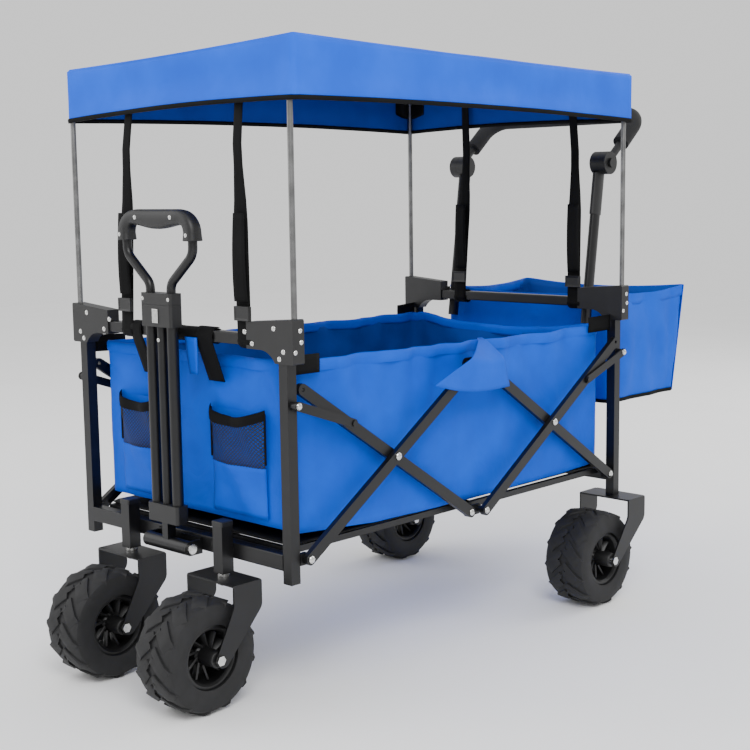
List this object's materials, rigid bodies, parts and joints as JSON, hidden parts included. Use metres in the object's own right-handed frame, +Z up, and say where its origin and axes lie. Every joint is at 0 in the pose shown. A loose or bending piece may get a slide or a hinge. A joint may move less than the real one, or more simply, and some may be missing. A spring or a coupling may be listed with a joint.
{
  "type": "folding beach cart",
  "caption": "Folding beach cart: scissor frame with a cloth basket, broad caster wheels, telescoping pull handle, tilting push handle, rear bag and canopy.",
  "frame": {"origin": "on the ground, in the middle of the cart's length and width", "axes": "+Z up; -Y towards the pull handle, the way the cart travels when pulled; +X to the left hand of who pulls it"},
  "size_m": [0.622, 1.3452, 1.001],
  "materials": {
    "frame_paint": "satin black powder coat",
    "black_plastic": "moulded, fine grain",
    "tyre": "matte foam-filled tyre",
    "rim_plastic": "moulded",
    "blue_cloth": "coated woven polyester",
    "black_webbing": "woven webbing",
    "pole_steel": "drawn steel",
    "zinc_steel": "bright zinc plate",
    "foam_grip": "closed-cell foam"
  },
  "bodies": {
    "root": {"rear_posts": "frame_paint", "rear_crossbar": "frame_paint", "rear_top_rail": "frame_paint", "rear_brackets": "black_plastic", "rear_pivots": "zinc_steel", "rear_forks": "frame_paint", "rear_axles": "zinc_steel", "push_posts": "frame_paint", "push_sockets": "black_plastic", "rear_bag": "blue_cloth"},
    "rear_lower_scissor": {"rear_lower_bars": "frame_paint", "rear_cross_rivets": "zinc_steel"},
    "rear_upper_scissor": {"rear_upper_bars": "frame_paint"},
    "top_hub": {"top_hubs": "frame_paint", "basket": "blue_cloth"},
    "front_lower_scissor": {"front_lower_bars": "frame_paint", "front_cross_rivets": "zinc_steel"},
    "front_upper_scissor": {"front_upper_bars": "frame_paint"},
    "bottom_hub": {"bottom_hubs": "frame_paint"},
    "front_frame": {"front_posts": "frame_paint", "front_crossbar": "frame_paint", "front_top_rail": "frame_paint", "front_brackets": "black_plastic", "front_pivots": "zinc_steel", "caster_stems": "frame_paint", "stem_caps": "black_plastic", "front_bolts": "zinc_steel", "handle_bracket": "frame_paint"},
    "front_link": {"front_links": "frame_paint"},
    "rear_link": {"rear_links": "frame_paint"},
    "front_floor": {"front_floor_frame": "frame_paint"},
    "rear_floor": {"rear_floor_frame": "frame_paint"},
    "caster_left": {"front_fork_left": "frame_paint", "front_axle_left": "zinc_steel"},
    "caster_right": {"front_fork_right": "frame_paint", "front_axle_right": "zinc_steel"},
    "front_wheel_left": {"front_left_tyre": "tyre", "front_left_rim": "rim_plastic"},
    "front_wheel_right": {"front_right_tyre": "tyre", "front_right_rim": "rim_plastic"},
    "rear_wheel_left": {"rear_left_tyre": "tyre", "rear_left_rim": "rim_plastic"},
    "rear_wheel_right": {"rear_right_tyre": "tyre", "rear_right_rim": "rim_plastic"},
    "pull_handle": {"pull_foot": "frame_paint", "pull_blocks": "black_plastic", "pull_tubes": "frame_paint"},
    "pull_slider": {"pull_yoke": "frame_paint", "pull_collar": "black_plastic", "pull_grip": "black_plastic"},
    "pull_release": {"pull_button": "black_plastic"},
    "push_handle": {"push_hinges": "black_plastic", "push_grip": "foam_grip"},
    "push_release_left": {"push_button_left": "black_plastic"},
    "push_release_right": {"push_button_right": "black_plastic"},
    "canopy": {"canopy_cover": "blue_cloth", "rear_poles": "pole_steel", "rear_straps": "black_webbing"},
    "front_canopy_poles": {"front_poles": "pole_steel", "front_straps": "black_webbing"}
  },
  "joints": [
    {"name": "fold", "type": "hinge", "parent": "root", "child": "rear_lower_scissor", "pos_m": [0, 0.31837, 0.24], "axis": [-1, 0, 0], "range_deg": [0, 45.65], "deforming": ["basket", "canopy_cover"]},
    {"name": "rear_scissor_cross", "type": "hinge", "parent": "rear_lower_scissor", "child": "rear_upper_scissor", "pos_m": [0, 0.12537, 0.367], "axis": [-1, 0, 0], "range_deg": [-92.31, 1]},
    {"name": "top_hub_hinge", "type": "hinge", "parent": "rear_lower_scissor", "child": "top_hub", "pos_m": [0, -0.06763, 0.494], "axis": [-1, 0, 0], "range_deg": [-46.65, 1]},
    {"name": "front_bar_top_hinge", "type": "hinge", "parent": "top_hub", "child": "front_lower_scissor", "pos_m": [0, -0.09563, 0.494], "axis": [-1, 0, 0], "range_deg": [-46.65, 1]},
    {"name": "front_scissor_cross", "type": "hinge", "parent": "front_lower_scissor", "child": "front_upper_scissor", "pos_m": [0, -0.28863, 0.367], "axis": [-1, 0, 0], "range_deg": [-1, 92.31]},
    {"name": "bottom_hub_hinge", "type": "hinge", "parent": "rear_upper_scissor", "child": "bottom_hub", "pos_m": [0, -0.06763, 0.24], "axis": [-1, 0, 0], "range_deg": [-1, 46.65]},
    {"name": "front_frame_hinge", "type": "hinge", "parent": "front_lower_scissor", "child": "front_frame", "pos_m": [0, -0.48163, 0.24], "axis": [-1, 0, 0], "range_deg": [-1, 46.65]},
    {"name": "front_link_hinge", "type": "hinge", "parent": "front_frame", "child": "front_link", "pos_m": [0, -0.50363, 0.473], "axis": [-1, 0, 0], "range_deg": [-89.11, 1]},
    {"name": "rear_link_hinge", "type": "hinge", "parent": "root", "child": "rear_link", "pos_m": [0, 0.34037, 0.473], "axis": [-1, 0, 0], "range_deg": [-1, 89.11]},
    {"name": "front_floor_hinge", "type": "hinge", "parent": "front_frame", "child": "front_floor", "pos_m": [0, -0.48363, 0.246], "axis": [-1, 0, 0], "range_deg": [-75.96, 1]},
    {"name": "rear_floor_hinge", "type": "hinge", "parent": "root", "child": "rear_floor", "pos_m": [0, 0.32037, 0.246], "axis": [-1, 0, 0], "range_deg": [-1, 75.96]},
    {"name": "caster_swivel_left", "type": "hinge", "parent": "front_frame", "child": "caster_left", "pos_m": [0.118, -0.52463, 0.196], "axis": [0, 0, 1], "continuous": true},
    {"name": "caster_swivel_right", "type": "hinge", "parent": "front_frame", "child": "caster_right", "pos_m": [-0.118, -0.52463, 0.196], "axis": [0, 0, 1], "continuous": true},
    {"name": "front_wheel_spin_left", "type": "hinge", "parent": "caster_left", "child": "front_wheel_left", "pos_m": [0.118, -0.58363, 0.089], "axis": [1, 0, 0], "continuous": true},
    {"name": "front_wheel_spin_right", "type": "hinge", "parent": "caster_right", "child": "front_wheel_right", "pos_m": [-0.118, -0.58363, 0.089], "axis": [1, 0, 0], "continuous": true},
    {"name": "rear_wheel_spin_left", "type": "hinge", "parent": "root", "child": "rear_wheel_left", "pos_m": [0.25, 0.26337, 0.089], "axis": [1, 0, 0], "continuous": true},
    {"name": "rear_wheel_spin_right", "type": "hinge", "parent": "root", "child": "rear_wheel_right", "pos_m": [-0.25, 0.26337, 0.089], "axis": [1, 0, 0], "continuous": true},
    {"name": "pull_handle_tilt", "type": "hinge", "parent": "front_frame", "child": "pull_handle", "pos_m": [0, -0.53663, 0.23], "axis": [1, 0, 0], "range_deg": [0, 95]},
    {"name": "pull_handle_extend", "type": "slide", "parent": "pull_handle", "child": "pull_slider", "axis": [0, 0, 1], "range_m": [0, 0.26]},
    {"name": "pull_release_press", "type": "slide", "parent": "pull_handle", "child": "pull_release", "axis": [0, 1, 0], "range_m": [0, 0.003], "stiffness_N_per_m": 400},
    {"name": "push_handle_tilt", "type": "hinge", "parent": "root", "child": "push_handle", "pos_m": [0, 0.40677, 0.83], "axis": [1, 0, 0], "range_deg": [-110, 45]},
    {"name": "push_release_left_press", "type": "slide", "parent": "push_handle", "child": "push_release_left", "axis": [-1, 0, 0], "range_m": [0, 0.004], "stiffness_N_per_m": 400},
    {"name": "push_release_right_press", "type": "slide", "parent": "push_handle", "child": "push_release_right", "axis": [1, 0, 0], "range_m": [0, 0.004], "stiffness_N_per_m": 400},
    {"name": "canopy_lift", "type": "slide", "parent": "root", "child": "canopy", "axis": [0, 0, 1], "range_m": [0, 0.04], "deforming": ["rear_straps"]},
    {"name": "front_poles_lift", "type": "slide", "parent": "front_frame", "child": "front_canopy_poles", "axis": [0, 0, 1], "range_m": [0, 0.04], "deforming": ["front_straps"]}
  ],
  "couplings": [
    {"joint": "rear_scissor_cross", "follows": "fold", "ratio": -2},
    {"joint": "top_hub_hinge", "follows": "fold", "ratio": -1},
    {"joint": "front_bar_top_hinge", "follows": "fold", "ratio": -1},
    {"joint": "front_scissor_cross", "follows": "fold", "ratio": 2},
    {"joint": "bottom_hub_hinge", "follows": "fold", "ratio": 1},
    {"joint": "front_frame_hinge", "follows": "fold", "ratio": 1},
    {"joint": "front_link_hinge", "follows": "fold", "ratio": -1.93},
    {"joint": "rear_link_hinge", "follows": "fold", "ratio": 1.93},
    {"joint": "front_floor_hinge", "follows": "fold", "ratio": -1.642},
    {"joint": "rear_floor_hinge", "follows": "fold", "ratio": 1.642},
    {"joint": "push_release_right_press", "follows": "push_release_left_press", "ratio": 1},
    {"joint": "front_poles_lift", "follows": "canopy_lift", "ratio": 1}
  ]
}
